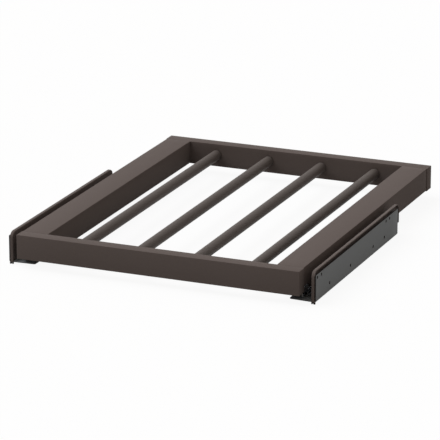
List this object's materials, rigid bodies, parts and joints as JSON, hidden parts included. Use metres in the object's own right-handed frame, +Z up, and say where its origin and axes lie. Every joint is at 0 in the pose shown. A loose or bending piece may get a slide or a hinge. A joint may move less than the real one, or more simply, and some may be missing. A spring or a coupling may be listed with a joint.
{
  "type": "pull out trouser rack",
  "caption": "Shallow rectangular pull out frame with round hanging rods, on side-mounted ball runners with wall brackets and covers.",
  "frame": {"origin": "middle of the overall footprint, at the height of the covers' front legs, the lowest point", "axes": "+X to the right seen from the front, +Y to the wardrobe's back, +Z up; the rack pulls out along -Y"},
  "size_m": [0.464, 0.546, 0.0491],
  "materials": {
    "frame_foil": "board covered in dark brown-grey foil, satin matt",
    "rod_paint": "dark brown-grey powder coat, fine texture",
    "dowel_beech": "bare beech",
    "zinc_fastener": "bright zinc plate",
    "black_screw": "black zinc plate",
    "bracket_paint": "mid grey powder coat",
    "cover_plastic": "dark brown-grey moulded plastic, fine grain",
    "runner_steel": "zinc-plated rolled steel strip",
    "cage_steel": "greased steel strip and balls",
    "bumper_rubber": "black rubber"
  },
  "bodies": {
    "wall_brackets": {"wall_bracket_right": "bracket_paint", "wall_bracket_left": "bracket_paint", "runner_cover_right": "cover_plastic", "runner_cover_left": "cover_plastic", "cabinet_member_right": "runner_steel", "cabinet_member_left": "runner_steel", "rear_bumper_right": "bumper_rubber", "rear_bumper_left": "bumper_rubber", "rivet_1_right": "zinc_fastener", "rivet_1_left": "zinc_fastener", "rivet_2_right": "zinc_fastener", "rivet_2_left": "zinc_fastener", "rivet_3_right": "zinc_fastener", "rivet_3_left": "zinc_fastener"},
    "rack": {"front_rail": "frame_foil", "rear_rail": "frame_foil", "side_rail_right": "frame_foil", "side_rail_left": "frame_foil", "hanging_rod_1": "rod_paint", "hanging_rod_2": "rod_paint", "hanging_rod_3": "rod_paint", "hanging_rod_4": "rod_paint", "front_dowel_right": "dowel_beech", "front_dowel_left": "dowel_beech", "front_cam_bolt_right": "zinc_fastener", "front_cam_bolt_left": "zinc_fastener", "front_cam_lock_right": "zinc_fastener", "front_cam_lock_left": "zinc_fastener", "rear_dowel_right": "dowel_beech", "rear_dowel_left": "dowel_beech", "rear_cam_bolt_right": "zinc_fastener", "rear_cam_bolt_left": "zinc_fastener", "rear_cam_lock_right": "zinc_fastener", "rear_cam_lock_left": "zinc_fastener", "rack_member_right": "runner_steel", "rack_member_left": "runner_steel", "rack_screw_1_right": "zinc_fastener", "rack_screw_1_left": "zinc_fastener", "rack_screw_2_right": "zinc_fastener", "rack_screw_2_left": "zinc_fastener", "rack_screw_3_right": "zinc_fastener", "rack_screw_3_left": "zinc_fastener", "ear_screw_right": "black_screw", "ear_screw_left": "black_screw"},
    "outer_cage_right": {"outer_ball_cage_right": "cage_steel"},
    "middle_right": {"middle_member_right": "runner_steel"},
    "inner_cage_right": {"inner_ball_cage_right": "cage_steel"},
    "outer_cage_left": {"outer_ball_cage_left": "cage_steel"},
    "middle_left": {"middle_member_left": "runner_steel"},
    "inner_cage_left": {"inner_ball_cage_left": "cage_steel"}
  },
  "joints": [
    {"name": "rack_slide", "type": "slide", "parent": "wall_brackets", "child": "rack", "axis": [0, -1, 0], "range_m": [0, 0.32]},
    {"name": "outer_cage_right_slide", "type": "slide", "parent": "wall_brackets", "child": "outer_cage_right", "axis": [0, -1, 0], "range_m": [-0.001, 0.081]},
    {"name": "middle_right_slide", "type": "slide", "parent": "wall_brackets", "child": "middle_right", "axis": [0, -1, 0], "range_m": [-0.001, 0.161]},
    {"name": "inner_cage_right_slide", "type": "slide", "parent": "wall_brackets", "child": "inner_cage_right", "axis": [0, -1, 0], "range_m": [-0.001, 0.241]},
    {"name": "outer_cage_left_slide", "type": "slide", "parent": "wall_brackets", "child": "outer_cage_left", "axis": [0, -1, 0], "range_m": [-0.001, 0.081]},
    {"name": "middle_left_slide", "type": "slide", "parent": "wall_brackets", "child": "middle_left", "axis": [0, -1, 0], "range_m": [-0.001, 0.161]},
    {"name": "inner_cage_left_slide", "type": "slide", "parent": "wall_brackets", "child": "inner_cage_left", "axis": [0, -1, 0], "range_m": [-0.001, 0.241]}
  ],
  "couplings": [
    {"joint": "outer_cage_right_slide", "follows": "rack_slide", "ratio": 0.25},
    {"joint": "middle_right_slide", "follows": "rack_slide", "ratio": 0.5},
    {"joint": "inner_cage_right_slide", "follows": "rack_slide", "ratio": 0.75},
    {"joint": "outer_cage_left_slide", "follows": "rack_slide", "ratio": 0.25},
    {"joint": "middle_left_slide", "follows": "rack_slide", "ratio": 0.5},
    {"joint": "inner_cage_left_slide", "follows": "rack_slide", "ratio": 0.75}
  ]
}
